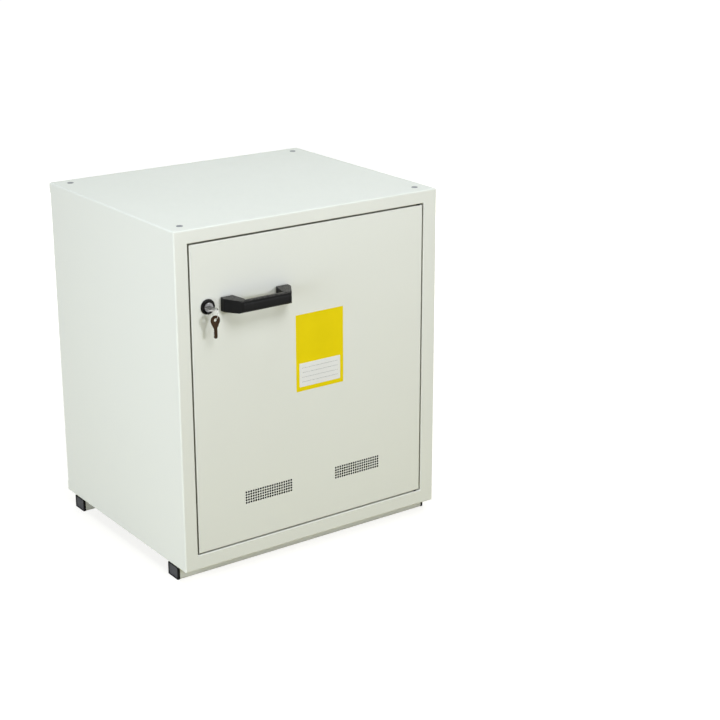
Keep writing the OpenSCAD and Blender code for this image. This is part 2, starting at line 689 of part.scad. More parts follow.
// A flat key along +y with the tip of its bow at the origin: round bow, tapered neck and notched blade
function neck_corner(side) = [side * neck_r * cos(neck_taper), bow_r + neck_r * sin(neck_taper)];
module key_outline() difference() {
    union() {
        translate([0, bow_r]) circle(r = bow_r);
        polygon([
            neck_corner(1), [shoulder_w / 2, shoulder_at],
            [-shoulder_w / 2, shoulder_at], neck_corner(-1)]);
        translate([-blade_w / 2, bow_r]) square([blade_w, key_l - bow_r - blade_w / 2]);
        translate([0, key_l - blade_w / 2]) circle(d = blade_w);
    }
    translate([0, bow_rim + bow_hole_r]) circle(r = bow_hole_r);
    for (i = [0:notch_count - 1])
        translate([-blade_w / 2, shoulder_at + notch_start + notch_pitch * i])
            rotate(45) square(notch_sizes[i % 2], center = true);
}
// Each face of the blade has a groove, one on either side of the middle
module key_blank() difference() {
    translate([0, 0, -key_t / 2]) linear_extrude(key_t) key_outline();
    for (side = [-1, 1])
        translate([side * groove_off - groove[0] / 2, shoulder_at - groove[0], side * key_t / 2 - groove[1]])
            cube([groove[0], key_l, 2 * groove[1]]);
}
module door_key() color("#cfd1d3") placed() translate([lock_x, key_tip_y, lock_z]) key_blank();
module key_ring() color("#c8cacc") placed() translate([lock_x, ring_y, ring_z]) rotate([0, 90, 0])
    rotate_extrude() translate([ring_r, 0]) circle(r = wire_r, $fn = 32);
module spare_key() color("#4a3826") placed() translate([lock_x, ring_y, spare_top_z])
    rotate([-90, 0, 0]) key_blank();

side_panel_left();
side_panel_right();
top_panel();
bottom_panel();
back_panel();
frame_stile_latch();
frame_stile_hinge();
frame_rail_top();
frame_rail_bottom();
insulation_left();
insulation_right();
insulation_top();
insulation_bottom();
insulation_back();
liner_left();
liner_right();
liner_top();
liner_floor();
liner_back();
door_seal();
pivot_bracket_top();
pivot_bracket_bottom();
shelf_runner_left();
shelf_runner_right();
runner_screws();
shelf_tray();
sump_tray();
exhaust_spigot();
spigot_flange();
back_screws();
top_caps();
base_rail_front();
base_rail_rear();
rail_plugs();
door_skin();
door_insulation();
door_liner();
vent_sleeve_left();
vent_sleeve_right();
pivot_block_top();
pivot_block_bottom();
handle_leg_left();
handle_leg_right();
handle_grip();
handle_screws();
lock_rosette();
lock_barrel();
lock_nut();
lock_plug();
lock_cam();
cam_screw();
door_key();
key_ring();
spare_key();
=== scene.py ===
# %% [markdown]
# A ventilated safety cabinet
# This lesson dresses a steel cabinet: a white double-walled box on two base rails, with one hinged door, a
# bridge handle, a cam lock with two keys and two punched grilles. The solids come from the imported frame, at
# their real size, and every piece made here sits on one of its bodies, so the door still opens at the end.

# %% Load the frame
import json
import math

import bmesh
import bpy
from mathutils import Matrix, Vector


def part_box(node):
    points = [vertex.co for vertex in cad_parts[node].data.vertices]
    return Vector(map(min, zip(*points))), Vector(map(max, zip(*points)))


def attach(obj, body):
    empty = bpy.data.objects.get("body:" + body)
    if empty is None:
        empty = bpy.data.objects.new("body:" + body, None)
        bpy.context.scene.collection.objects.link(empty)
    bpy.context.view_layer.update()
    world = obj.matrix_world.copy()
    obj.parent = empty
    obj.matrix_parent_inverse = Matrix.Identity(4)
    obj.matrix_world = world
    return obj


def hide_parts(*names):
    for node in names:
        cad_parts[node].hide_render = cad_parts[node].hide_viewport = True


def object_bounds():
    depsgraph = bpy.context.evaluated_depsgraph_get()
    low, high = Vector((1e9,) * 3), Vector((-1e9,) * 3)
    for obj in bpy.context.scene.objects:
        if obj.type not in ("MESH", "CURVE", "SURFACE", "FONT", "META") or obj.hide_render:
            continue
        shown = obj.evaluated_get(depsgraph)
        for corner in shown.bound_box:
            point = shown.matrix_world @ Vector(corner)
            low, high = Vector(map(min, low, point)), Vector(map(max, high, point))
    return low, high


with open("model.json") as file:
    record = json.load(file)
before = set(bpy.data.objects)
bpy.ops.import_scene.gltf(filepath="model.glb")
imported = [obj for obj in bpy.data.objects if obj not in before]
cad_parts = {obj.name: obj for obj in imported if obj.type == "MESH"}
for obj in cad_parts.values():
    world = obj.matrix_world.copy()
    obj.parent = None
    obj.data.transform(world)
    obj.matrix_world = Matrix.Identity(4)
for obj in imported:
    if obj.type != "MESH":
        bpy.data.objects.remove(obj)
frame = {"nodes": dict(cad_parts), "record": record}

MM = 0.001
cad_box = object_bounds()
body_of = {
    node: body
    for body, members in frame["record"]["behaviour"]["bodies"].items()
    for node in members
}

# %% [markdown]
# Camera
# The camera stands to the left of the front and looks down on the cabinet. It could be tilted or shifted; a
# tilted camera without shift keeps the cabinet in the middle of every other view, so the tilt was chosen.
# The lens is long, as in a product shot, so that the box keeps its proportions.

# %% Set up the camera
IMAGE_SIDE = 720
FOCAL_PIXELS = 1630
SENSOR_WIDTH = 36
camera_place = Vector((-1.601, -2.593, 1.354))
camera_tilt = math.radians(18.9)
camera_turn = math.radians(-35.93)

camera = bpy.data.objects.new("photo_camera", bpy.data.cameras.new("photo_camera"))
bpy.context.scene.collection.objects.link(camera)
camera.data.sensor_width = SENSOR_WIDTH
camera.data.lens = FOCAL_PIXELS / IMAGE_SIDE * SENSOR_WIDTH
camera.location = camera_place
camera.rotation_euler = (math.pi / 2 - camera_tilt, 0, camera_turn)
bpy.context.scene.camera = camera
print("camera lens", round(camera.data.lens, 1), "mm")

# %% [markdown]
# Wiring helper
# Materials, the floor and the Geometry Nodes trees are all node trees. One helper makes a node, sets its
# properties and fills or links its inputs, so that a tree reads as a list of what each node gets.

# %% Define the wiring helper
def add_node(tree, kind, inputs=None, **settings):
    made = tree.nodes.new(kind)
    for name, value in settings.items():
        setattr(made, name, value)
    for name, value in (inputs or {}).items():
        if isinstance(value, bpy.types.NodeSocket):
            tree.links.new(value, made.inputs[name])
        else:
            made.inputs[name].default_value = value
    return made


# Sockets of a Mix node that mixes colours
MIX_FACTOR, MIX_A, MIX_B, MIX_RESULT = 0, 6, 7, 2


def mix_colours(tree, factor, first, second, blend="MIX"):
    inputs = {MIX_FACTOR: factor, MIX_A: first, MIX_B: second}
    return add_node(tree, "ShaderNodeMix", inputs, data_type="RGBA", blend_type=blend).outputs[MIX_RESULT]


def calculate(tree, operation, first, second):
    return add_node(tree, "ShaderNodeMath", {0: first, 1: second}, operation=operation).outputs[0]


def remap(tree, value, low, high, new_low, new_high, curve="LINEAR"):
    inputs = {"Value": value, "From Min": low, "From Max": high, "To Min": new_low, "To Max": new_high}
    return add_node(tree, "ShaderNodeMapRange", inputs, interpolation_type=curve).outputs["Result"]


print("wiring helper ready")

# %% [markdown]
# Floor, background and light
# A product photo on white is lit by large soft boxes. The floor could simply be very bright, but then it
# would throw light up at the cabinet. Here it throws back little light, and that is warm, as from a workshop
# floor. Only what the camera or a mirror sees of it is nearly neutral and lifted to white: a little less
# near the cabinet, so that its contact shadow stays, and fully white further out, beyond the lamps.

# %% Make the floor and the background
FLOOR_HALF = 40.0
BOUNCE_COLOUR, FLOOR_COLOUR = (0.40, 0.37, 0.17, 1), (0.32, 0.31, 0.27, 1)
LIFT_COLOUR = (1.0, 1.0, 1.0, 1)
LIFT_NEAR, LIFT_FAR = 0.80, 1.02
NEAR_RADIUS, FAR_RADIUS = 0.5, 2.4
SKY_LIGHT = 0.10
SKY_TINT = (1.0, 0.95, 0.6, 1)


def seen_directly(tree):
    # One for rays from the camera, from a mirror or through glass, and none for rays that carry light
    path = add_node(tree, "ShaderNodeLightPath")
    mirrored = calculate(tree, "MAXIMUM", path.outputs["Is Glossy Ray"], path.outputs["Is Transmission Ray"])
    return calculate(tree, "MAXIMUM", path.outputs["Is Camera Ray"], mirrored)


floor_material = bpy.data.materials.new("studio_floor")
floor_material.use_nodes = True
tree = floor_material.node_tree
tree.nodes.clear()
direct = seen_directly(tree)
matt = add_node(tree, "ShaderNodeBsdfDiffuse", {
    "Color": mix_colours(tree, direct, BOUNCE_COLOUR, FLOOR_COLOUR)})
floor_place = add_node(tree, "ShaderNodeTexCoord").outputs["Object"]
from_cabinet = add_node(tree, "ShaderNodeVectorMath", {0: floor_place}, operation="LENGTH").outputs["Value"]
whiteness = remap(tree, from_cabinet, NEAR_RADIUS, FAR_RADIUS, LIFT_NEAR, LIFT_FAR, "SMOOTHSTEP")
lift = add_node(tree, "ShaderNodeEmission", {
    "Color": LIFT_COLOUR,
    "Strength": calculate(tree, "MULTIPLY", direct, whiteness)})
both = add_node(tree, "ShaderNodeAddShader", {0: matt.outputs[0], 1: lift.outputs[0]})
add_node(tree, "ShaderNodeOutputMaterial", {"Surface": both.outputs[0]})

floor_mesh = bpy.data.meshes.new("studio_floor")
floor_mesh.from_pydata(
    [(-FLOOR_HALF, -FLOOR_HALF, 0), (FLOOR_HALF, -FLOOR_HALF, 0),
     (FLOOR_HALF, FLOOR_HALF, 0), (-FLOOR_HALF, FLOOR_HALF, 0)], [], [(0, 1, 2, 3)])
floor_mesh.materials.append(floor_material)
floor = bpy.data.objects.new("studio_floor", floor_mesh)
bpy.context.scene.collection.objects.link(floor)
floor.location.z = cad_box[0].z - 0.1 * MM

world = bpy.data.worlds.new("studio")
bpy.context.scene.world = world
world.use_nodes = True
tree = world.node_tree
tree.nodes.clear()
direct = seen_directly(tree)
background = add_node(tree, "ShaderNodeBackground", {
    "Color": mix_colours(tree, direct, SKY_TINT, (1, 1, 1, 1)),
    "Strength": remap(tree, direct, 0, 1, SKY_LIGHT, 1)})
add_node(tree, "ShaderNodeOutputWorld", {"Surface": background.outputs[0]})
print("floor and background ready")

# %% [markdown]
# Soft boxes
# The shadows tell where the lamps stood. The key throws a small crisp shadow to the left, so one lamp stands
# low in front on the right. The handle throws a long soft one down the door, so a large lamp hangs high in
# front. The left side is as bright as the door, so a third box faces it, and a fourth hangs over the top. The
# shadows are more yellow than what is lit, so the light of the room is warm and the lamps are cold. One more
# box, behind on the right, lights the two sides that face away, so that the cabinet is white from all round.
# Gloss mirrors only the two boxes that hang high: a low one would glare in the top, seen from the far side.
# The last box stands lower than the top, so it can't do that. It lights nothing, and only gloss shows it, as
# a soft band along the handle.

# %% Hang the soft boxes
bpy.context.scene.view_settings.view_transform = "Standard"
cabinet_middle = (cad_box[0] + cad_box[1]) / 2
COOL, COLD, COLDEST = (0.87, 0.965, 1.0), (0.89, 0.91, 1.0), (0.806, 0.86, 1.0)


def soft_box(name, place, width, height, power, tint, mirrored=False, lighting=True):
    lamp = bpy.data.lights.new(name, "AREA")
    lamp.shape = "RECTANGLE"
    lamp.size = width
    lamp.size_y = height
    lamp.energy = power
    lamp.color = tint
    hung = bpy.data.objects.new(name, lamp)
    bpy.context.scene.collection.objects.link(hung)
    hung.location = place
    hung.visible_glossy = mirrored
    hung.visible_diffuse = lighting
    hung.rotation_euler = (Vector(place) - cabinet_middle).to_track_quat("Z", "Y").to_euler()


soft_box("low_front_box", (0.75, -3.0, 1.15), 0.5, 0.4, 31.5, COLD)
soft_box("high_front_box", (-0.3, -2.0, 2.4), 1.3, 1.0, 28.5, COLD, mirrored=True)
soft_box("left_box", (-2.5, -0.6, 0.7), 1.6, 1.4, 52.5, COLDEST)
soft_box("top_box", (-0.1, -0.3, 2.9), 1.6, 1.6, 32.5, COOL, mirrored=True)
soft_box("rear_box", (1.9, 2.2, 0.7), 1.6, 1.0, 78, COLD)
soft_box("gloss_box", (1.13, -2.4, 0.40), 0.5, 0.35, 18, COLD, mirrored=True, lighting=False)
print("six soft boxes hung")

# %% [markdown]
# Surface effects shared by several finishes
# Powder coat, moulded plastic and plated steel all need some of the same effects: a slow drift of tone, a
# fine skin, a rub along the edges, dust on what faces up, which on the handle is a painted sheen on its tops,
# and painted shade in narrow seams, where ambient occlusion darkens the colour. Each effect is a shader node
# group, built once, and every finish places it with its own values. They read Object coordinates, and all
# pieces sit at the origin, so a pattern runs on across a seam between two sheets.

# %% Build the shared shader groups
FLOAT, COLOUR, VECTOR = "NodeSocketFloat", "NodeSocketColor", "NodeSocketVector"


def shader_group(name, inputs, outputs):
    group = bpy.data.node_groups.new(name, "ShaderNodeTree")
    for label, (kind, value) in inputs.items():
        group.interface.new_socket(label, in_out="INPUT", socket_type=kind).default_value = value
    for label, kind in outputs.items():
        group.interface.new_socket(label, in_out="OUTPUT", socket_type=kind)
    return group, group.nodes.new("NodeGroupInput").outputs


def noise_value(tree, scale, detail=2.0, stretch=(1, 1, 1)):
    place = add_node(tree, "ShaderNodeTexCoord").outputs["Object"]
    turned = add_node(tree, "ShaderNodeMapping", {"Vector": place, "Scale": stretch}).outputs[0]
    inputs = {"Vector": turned, "Scale": scale, "Detail": detail}
    return add_node(tree, "ShaderNodeTexNoise", inputs).outputs["Fac"]


def make_tone_drift():
    inputs = {"Color": (COLOUR, (0.8, 0.8, 0.8, 1)), "Scale": (FLOAT, 3.0), "Amount": (FLOAT, 0.04)}
    group, given = shader_group("tone_drift", inputs, {"Color": COLOUR})
    cloud = noise_value(group, given["Scale"], 3.0)
    tone = remap(group, cloud, 0.3, 0.7, calculate(group, "SUBTRACT", 1.0, given["Amount"]), 1.0)
    drifted = mix_colours(group, 1.0, given["Color"], tone, "MULTIPLY")
    add_node(group, "NodeGroupOutput", {"Color": drifted})
    return group


def make_fine_skin():
    inputs = {"Scale": (FLOAT, 600.0), "Fine": (FLOAT, 0.4)}
    group, given = shader_group("fine_skin", inputs, {"Height": FLOAT})
    waves = noise_value(group, given["Scale"], 1.0)
    grain = noise_value(group, calculate(group, "MULTIPLY", given["Scale"], 4.3), 2.0)
    height = calculate(group, "ADD", waves, calculate(group, "MULTIPLY", grain, given["Fine"]))
    add_node(group, "NodeGroupOutput", {"Height": height})
    return group


def make_edge_rub():
    inputs = {"Radius": (FLOAT, 0.8 * MM), "Amount": (FLOAT, 0.5), "Breakup": (FLOAT, 220.0)}
    group, given = shader_group("edge_rub", inputs, {"Mask": FLOAT})
    rounded = add_node(group, "ShaderNodeBevel", {"Radius": given["Radius"]}, samples=4).outputs[0]
    flat = add_node(group, "ShaderNodeNewGeometry").outputs["Normal"]
    along = add_node(group, "ShaderNodeVectorMath", {0: rounded, 1: flat}, operation="DOT_PRODUCT")
    edge = remap(group, along.outputs["Value"], 0.995, 0.86, 0.0, 1.0)
    broken = remap(group, noise_value(group, given["Breakup"], 3.0), 0.42, 0.62, 0.0, 1.0)
    mask = calculate(group, "MULTIPLY", calculate(group, "MULTIPLY", edge, broken), given["Amount"])
    add_node(group, "NodeGroupOutput", {"Mask": mask})
    return group


def make_dust_and_top_sheen():
    inputs = {"Amount": (FLOAT, 0.2), "Scale": (FLOAT, 90.0)}
    group, given = shader_group("settled_dust", inputs, {"Mask": FLOAT})
    # Dust on faces that point up; on the handle its light grey is a painted sheen on the tops
    facing = add_node(group, "ShaderNodeNewGeometry").outputs["Normal"]
    upward = add_node(group, "ShaderNodeSeparateXYZ", {0: facing}).outputs["Z"]
    level = remap(group, upward, 0.6, 1.0, 0.0, 1.0)
    patches = remap(group, noise_value(group, given["Scale"], 4.0), 0.35, 0.7, 0.0, 1.0)
    mask = calculate(group, "MULTIPLY", calculate(group, "MULTIPLY", level, patches), given["Amount"])
    add_node(group, "NodeGroupOutput", {"Mask": mask})
    return group


def make_painted_seam_shade():
    inputs = {"Distance": (FLOAT, 6 * MM), "Amount": (FLOAT, 0.7)}
    group, given = shader_group("seam_grime", inputs, {"Mask": FLOAT})
    # Painted shade: where ambient occlusion finds little open space, the colour turns towards the shade colour
    open_sky = add_node(group, "ShaderNodeAmbientOcclusion", {"Distance": given["Distance"]}, samples=8)
    narrow = remap(group, open_sky.outputs["AO"], 0.15, 0.75, 1.0, 0.0)
    add_node(group, "NodeGroupOutput", {"Mask": calculate(group, "MULTIPLY", narrow, given["Amount"])})
    return group


GROUPS = {
    "drift": make_tone_drift(),
    "skin": make_fine_skin(),
    "rub": make_edge_rub(),
    "dust_and_sheen": make_dust_and_top_sheen(),
    "seam_shade": make_painted_seam_shade(),
}
print("shader groups:", ", ".join(group.name for group in GROUPS.values()))

# %% [markdown]
# Finishes
# Each finish is a material with its own Principled BSDF. A number that is the same all over is set straight
# on the shader; only what changes over the surface comes from a group. The first helper starts a material,
# the second places a group in it, and the last tints part of a finish that is already mixed.

# %% Define the finish helpers
finishes = {}


def start_finish(name, **values):
    material = bpy.data.materials.new(name)
    material.use_nodes = True
    tree = material.node_tree
    tree.nodes.clear()
    shader = add_node(tree, "ShaderNodeBsdfPrincipled", {
        label.replace("_", " ").title().replace("Ior", "IOR"): value for label, value in values.items()})
    add_node(tree, "ShaderNodeOutputMaterial", {"Surface": shader.outputs[0]})
    finishes[name] = material
    return tree, shader


def effect(tree, group, output, **values):
    inputs = {label.title(): value for label, value in values.items()}
    return add_node(tree, "ShaderNodeGroup", inputs, node_tree=GROUPS[group]).outputs[output]


def set_bump(tree, shader, height, distance):
    bump = add_node(tree, "ShaderNodeBump", {"Height": height, "Distance": distance, "Strength": 1.0})
    tree.links.new(bump.outputs[0], shader.inputs["Normal"])


def opaque(red, green, blue):
    return (red, green, blue, 1.0)


def tint_over(name, mask, colour):
    # Lays a colour over the base colour of a finish, where the mask is one
    tree = finishes[name].node_tree
    shader = next(node for node in tree.nodes if node.type == "BSDF_PRINCIPLED")
    plain = shader.inputs["Base Color"].links[0].from_socket
    tree.links.new(mix_colours(tree, mask, plain, colour), shader.inputs["Base Color"])


print("finish helpers ready")

# %% [markdown]
# Painted steel
# The box and the door are powder coated: a thick paint, baked on, with a faint orange-peel skin and a soft
# gloss. A plain white would look like card, so the tone drifts by a few hundredths and the skin is a bump of
# a few hundredths of a millimetre. Seams as narrow as the one round the door get painted shade: ambient
# occlusion darkens the colour there, most on the edges of the door, less on the frame and least on the base
# rails. The inside is a smoother, cooler paint of the same kind.

# %% Mix the paints
WHITE, LINER_GREY = (0.775, 0.785, 0.72), (0.74, 0.755, 0.745)
# Colours of the painted shade in seams, and the near black of the painted shade on the hole walls
OLIVE_SEAM_SHADE, DARK_SEAM_SHADE = (0.16, 0.14, 0.06), (0.08, 0.07, 0.03)
PAINT_DUST, HOLE_SHADE_COLOUR = (0.46, 0.43, 0.38), (0.02, 0.02, 0.018)
PAINT_GLOSS = 0.22
SEAM_REACH, HOLE_SHADE_DEPTH = 9 * MM, 0.25 * MM


def painted_steel(name, colour=WHITE, roughness=0.40, drift=0.02, peel_scale=420.0, peel_height=0.03 * MM,
                  dust_and_sheen=0.02, seam_shade=0.30, seam_shade_colour=OLIVE_SEAM_SHADE):
    tree, shader = start_finish(name, specular_ior_level=PAINT_GLOSS)
    tone = effect(tree, "drift", "Color", color=opaque(*colour), scale=2.2, amount=drift)
    dust_sheen_mask = effect(tree, "dust_and_sheen", "Mask", amount=dust_and_sheen, scale=70.0)
    dusted = mix_colours(tree, dust_sheen_mask, tone, opaque(*PAINT_DUST))
    # Painted shade: narrow seams darken towards the seam shade colour
    seam_shaded = effect(tree, "seam_shade", "Mask", distance=SEAM_REACH, amount=seam_shade)
    tree.links.new(mix_colours(tree, seam_shaded, dusted, opaque(*seam_shade_colour)), shader.inputs["Base Color"])
    sheen = remap(tree, noise_value(tree, 9.0, 3.0), 0.3, 0.7, roughness - 0.04, roughness + 0.05)
    tree.links.new(sheen, shader.inputs["Roughness"])
    skin = effect(tree, "skin", "Height", scale=peel_scale, fine=0.3)
    set_bump(tree, shader, skin, peel_height)


painted_steel("white_paint")
painted_steel("rail_paint", dust_and_sheen=0.0, seam_shade=0.25)
painted_steel("liner_paint", LINER_GREY, roughness=0.34, drift=0.03, peel_scale=700.0, peel_height=0.02 * MM,
              dust_and_sheen=0.05, seam_shade=0.55)

# The door is the same paint, with darker painted shade in its seams and nearly black painted shade on the
# walls of its punched holes, so that the grilles look dark
painted_steel("door_paint", seam_shade=0.65, seam_shade_colour=DARK_SEAM_SHADE)
door_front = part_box("door_skin")[0].y
vent_low, vent_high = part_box("vent_sleeve_left")[0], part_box("vent_sleeve_right")[1]
tree = finishes["door_paint"].node_tree
place = add_node(tree, "ShaderNodeSeparateXYZ", {0: add_node(tree, "ShaderNodeTexCoord").outputs["Object"]})
# Painted shade: the walls of the punched holes, within the grille fields, turn nearly black
hole_wall_shade = remap(tree, place.outputs["Y"], door_front, door_front + HOLE_SHADE_DEPTH, 0.0, 1.0)
inside = [calculate(tree, "GREATER_THAN", place.outputs["X"], vent_low.x),
          calculate(tree, "LESS_THAN", place.outputs["X"], vent_high.x),
          calculate(tree, "GREATER_THAN", place.outputs["Z"], vent_low.z),
          calculate(tree, "LESS_THAN", place.outputs["Z"], vent_high.z)]
for limit in inside:
    hole_wall_shade = calculate(tree, "MULTIPLY", hole_wall_shade, limit)
tint_over("door_paint", hole_wall_shade, opaque(*HOLE_SHADE_COLOUR))
print("paints mixed")

# %% [markdown]
# Bare and plated metal
# The trays, runners and the collar are galvanised sheet, which shows a spangle of zinc crystals. A Voronoi
# pattern gives each crystal its own tone and gloss. Screws and the cam are zinc plated and the pivot
# brackets blackened. The lock and the keys are plated too, with fine scratches from a stretched noise.

# %% Mix the metals
DARK_CRYSTAL, PALE_CRYSTAL, METAL_DUST = (0.50, 0.53, 0.55), (0.70, 0.72, 0.72), (0.4, 0.38, 0.34)


def galvanised(name):
    tree, shader = start_finish(name, metallic=1.0)
    place = add_node(tree, "ShaderNodeTexCoord").outputs["Object"]
    crystals = add_node(tree, "ShaderNodeTexVoronoi", {"Vector": place, "Scale": 95.0, "Randomness": 1.0})
    tone = add_node(tree, "ShaderNodeSeparateColor", {0: crystals.outputs["Color"]}).outputs[0]
    tint = mix_colours(tree, tone, opaque(*DARK_CRYSTAL), opaque(*PALE_CRYSTAL))
    dust_sheen_mask = effect(tree, "dust_and_sheen", "Mask", amount=0.12, scale=60.0)
    tree.links.new(mix_colours(tree, dust_sheen_mask, tint, opaque(*METAL_DUST)), shader.inputs["Base Color"])
    tree.links.new(remap(tree, tone, 0.0, 1.0, 0.30, 0.44), shader.inputs["Roughness"])
    set_bump(tree, shader, effect(tree, "skin", "Height", scale=500.0, fine=0.5), 0.02 * MM)


def plated(name, colour, roughness, rub_colour, stretch=(1, 1, 1), scratches=0.01 * MM):
    tree, shader = start_finish(name, metallic=1.0)
    tone = effect(tree, "drift", "Color", color=opaque(*colour), scale=120.0, amount=0.18)
    rub = effect(tree, "rub", "Mask", radius=0.5 * MM, amount=0.5, breakup=600.0)
    tree.links.new(mix_colours(tree, rub, tone, opaque(*rub_colour)), shader.inputs["Base Color"])
    grain = noise_value(tree, 900.0, 3.0, stretch)
    sheen = remap(tree, grain, 0.3, 0.7, roughness - 0.06, roughness + 0.08)
    tree.links.new(sheen, shader.inputs["Roughness"])
    set_bump(tree, shader, grain, scratches)


galvanised("galvanised_sheet")
plated("zinc_steel", (0.58, 0.59, 0.60), roughness=0.34, rub_colour=(0.72, 0.72, 0.72))
plated("dark_steel", (0.035, 0.035, 0.037), roughness=0.45, rub_colour=(0.16, 0.16, 0.16))
plated("lock_chrome", (0.20, 0.20, 0.195), roughness=0.28, rub_colour=(0.7, 0.7, 0.7),
       stretch=(0.2, 1, 0.2), scratches=0.008 * MM)
plated("key_nickel", (0.50, 0.50, 0.48), roughness=0.26, rub_colour=(0.75, 0.75, 0.73), stretch=(1, 0.08, 1))
plated("spare_brass", (0.030, 0.018, 0.010), roughness=0.36, rub_colour=(0.22, 0.14, 0.07),
       stretch=(1, 1, 0.08))
print("metals mixed")

# %% [markdown]
# Plastics, rubber and board
# The handle, the end plugs and the caps are moulded plastic. A mould is etched so that the plastic has a
# fine grain, and corners that hands and shoes touch turn grey. On the handle, the mask that lays dust
# elsewhere lays a light grey on the faces that point up: a painted sheen on its tops. The seal is matt rubber.
# The insulation board is hidden behind the sheets, and has a fibrous finish for anyone who takes the cabinet
# apart.

# %% Mix the plastics, the rubber and the board
BLACK, HOUSE_DUST_SHEEN = (0.005, 0.005, 0.005), (0.35, 0.33, 0.30)
DARK_FLECK, PALE_FLECK = (0.02, 0.02, 0.022), (0.13, 0.13, 0.135)
PLUG_DISH = 1.2 * MM


def moulded(name, colour, roughness, shine, grain_scale=1200.0, grain_height=0.02 * MM, rub=0.1, dust_and_sheen=0.0):
    tree, shader = start_finish(name, specular_ior_level=shine)
    tone = effect(tree, "drift", "Color", color=opaque(*colour), scale=30.0, amount=0.2)
    worn = effect(tree, "rub", "Mask", radius=0.9 * MM, amount=rub, breakup=260.0)
    lighter = opaque(*[0.7 * value + 0.06 for value in colour])
    dust_sheen_mask = effect(tree, "dust_and_sheen", "Mask", amount=dust_and_sheen, scale=420.0)
    used = mix_colours(tree, worn, tone, lighter)
    tree.links.new(mix_colours(tree, dust_sheen_mask, used, opaque(*HOUSE_DUST_SHEEN)), shader.inputs["Base Color"])
    sheen = remap(tree, noise_value(tree, 45.0, 3.0), 0.3, 0.7, roughness - 0.05, roughness + 0.06)
    tree.links.new(sheen, shader.inputs["Roughness"])
    set_bump(tree, shader, effect(tree, "skin", "Height", scale=grain_scale, fine=0.6), grain_height)


# The handle's large dust amount is a painted sheen: its upward faces turn light grey
moulded("handle_plastic", (0.010, 0.010, 0.0095), roughness=0.34, shine=0.06,
        grain_scale=1500.0, grain_height=0.01 * MM, rub=0.12, dust_and_sheen=0.34)
moulded("black_plastic", BLACK, roughness=0.45, shine=0.04, dust_and_sheen=0.02)
moulded("plug_plastic", BLACK, roughness=0.45, shine=0.04)
moulded("rosette_plastic", (0.003, 0.003, 0.003), roughness=0.14, shine=0.12,
        grain_scale=800.0, grain_height=0.002 * MM, rub=0.05)
moulded("cap_plastic", (0.22, 0.23, 0.24), roughness=0.5, shine=0.45, rub=0.2, dust_and_sheen=0.1)
moulded("seal_rubber", (0.018, 0.018, 0.018), roughness=0.68, shine=0.35,
        grain_scale=1800.0, grain_height=0.04 * MM, rub=0.15, dust_and_sheen=0.06)
moulded("mineral_board", (0.56, 0.50, 0.38), roughness=0.85, shine=0.4,
        grain_scale=300.0, grain_height=0.3 * MM, dust_and_sheen=0.05)

# The dish in the outer face of a plug is etched, so it is lighter than its rim
etched = finishes["plug_plastic"].node_tree
place = add_node(etched, "ShaderNodeTexCoord").outputs["Object"]
across = add_node(etched, "ShaderNodeSeparateXYZ", {0: place}).outputs["X"]
distance = add_node(etched, "ShaderNodeMath", {0: across}, operation="ABSOLUTE").outputs[0]
rail_end = cad_box[1].x
rim = remap(etched, distance, rail_end - PLUG_DISH, rail_end - 0.8 * PLUG_DISH, 0.0, 1.0)
dish = calculate(etched, "MULTIPLY", calculate(etched, "GREATER_THAN", distance, rail_end - 1.2 * PLUG_DISH),
                 calculate(etched, "SUBTRACT", 1.0, rim))
grain = noise_value(etched, 700.0, 2.0)
flecks = mix_colours(etched, grain, opaque(*DARK_FLECK), opaque(*PALE_FLECK))
tint_over("plug_plastic", dish, flecks)
print("finishes:", ", ".join(sorted(finishes)))

# %% [markdown]
# Dressing the solids
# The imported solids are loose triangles, so a fold looks faceted. A copy of a solid is merged, its flat faces
# are joined again, its sharp edges can get a small bevel, and the normals are weighted by face area, so that
# a panel stays flat in the light while its fold rolls round. The copy then stands for the solid.

# %% Define how a solid is dressed
MERGE_DISTANCE = 0.001 * MM
FLAT_ANGLE = math.radians(0.4)
SHARP_ANGLE = math.radians(32)
SLOT_OF = {"plug_plastic": "black_plastic", "door_paint": "white_paint", "rail_paint": "white_paint"}


def place_piece(piece, body, slot, *replaced):
    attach(piece, body)
    if replaced:
        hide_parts(*replaced)
    return piece


def new_piece(name, mesh, finish):
    mesh.name = name
    if not mesh.materials:
        mesh.materials.append(finishes[finish])
    piece = bpy.data.objects.new(name, mesh)
    bpy.context.scene.collection.objects.link(piece)
    return piece


def smooth_by_angle(work):
    for face in work.faces:
        face.smooth = True
    for edge in work.edges:
        edge.smooth = len(edge.link_faces) == 2 and edge.calc_face_angle(math.pi) < SHARP_ANGLE


def weigh_normals(piece):
    weighted = piece.modifiers.new("weighted_normals", "WEIGHTED_NORMAL")
    weighted.mode = "FACE_AREA"
    weighted.weight = 100
    weighted.keep_sharp = True
    evaluated = piece.evaluated_get(bpy.context.evaluated_depsgraph_get())
    mesh = bpy.data.meshes.new_from_object(evaluated)
    piece.modifiers.remove(weighted)
    piece.data = mesh
    mesh.name = piece.name


def merged_solid(node):
    work = bmesh.new()
    work.from_mesh(frame["nodes"][node].data)
    bmesh.ops.remove_doubles(work, verts=work.verts, dist=MERGE_DISTANCE)
    bmesh.ops.dissolve_limit(work, angle_limit=FLAT_ANGLE, verts=work.verts, edges=work.edges)
    return work


def bevel_sharp(work, width, segments, chosen=lambda edge: True):
    sharp = [edge for edge in work.edges
             if len(edge.link_faces) == 2 and edge.calc_face_angle(0) > SHARP_ANGLE and chosen(edge)]
    bmesh.ops.bevel(work, geom=sharp, offset=width, offset_type="OFFSET", segments=segments,
                    profile=0.5, affect="EDGES", clamp_overlap=True)


